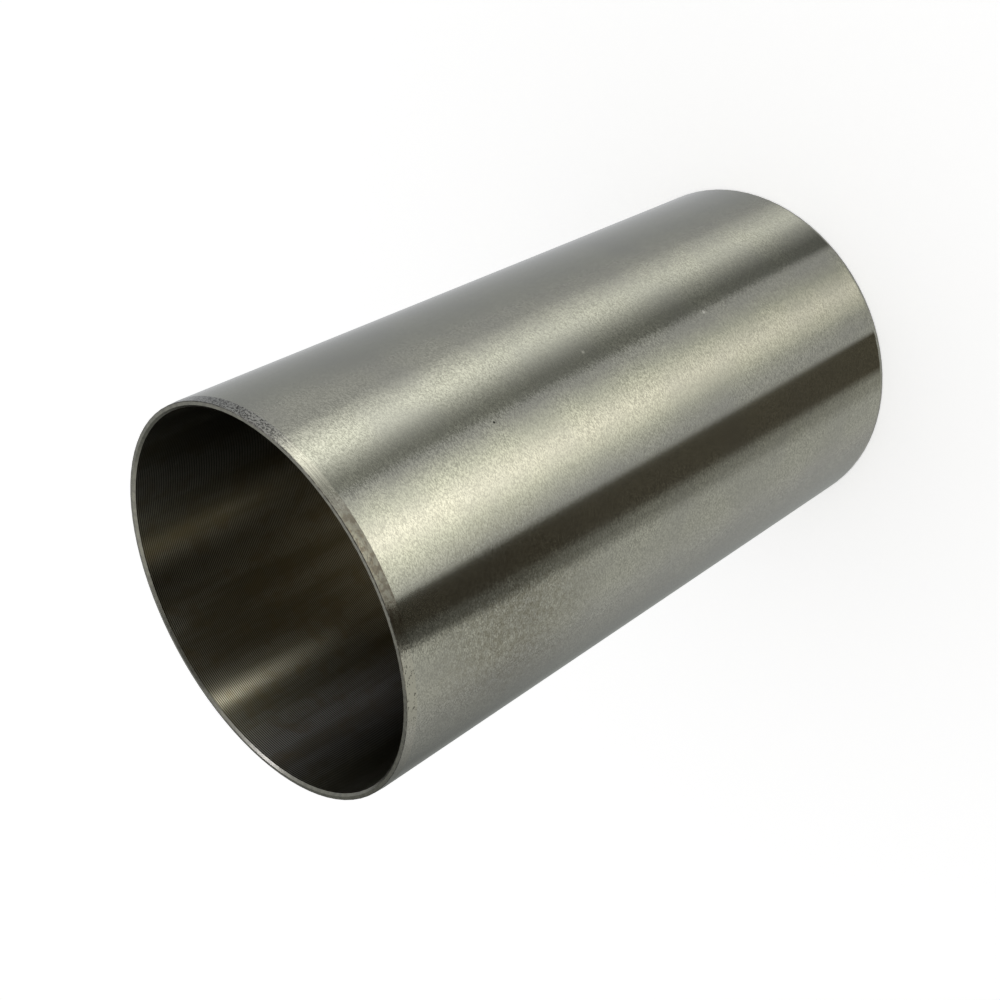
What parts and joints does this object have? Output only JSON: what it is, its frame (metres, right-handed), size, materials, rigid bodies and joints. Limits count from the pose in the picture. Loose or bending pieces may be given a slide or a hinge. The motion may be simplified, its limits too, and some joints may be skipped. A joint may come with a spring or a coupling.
{
  "type": "cylinder liner",
  "caption": "Thin flangeless dry cylinder liner: a sleeve ground outside and bored inside, with a tapered lead-in band at one end and chamfered bore mouths.",
  "frame": {"origin": "centre of the plain end face that the liner stands on, on the axis of the bore", "axes": "+Z along the axis of the bore, from the plain end up to the lead-in end; X and Y are any two directions square to it, because the liner is turned"},
  "size_m": [0.09, 0.09, 0.167],
  "materials": {
    "ground_cast_iron": "bare grey iron, cylindrically ground outside, fine bored inside, lightly oiled"
  },
  "bodies": {
    "root": {"liner": "ground_cast_iron"}
  },
  "joints": []
}
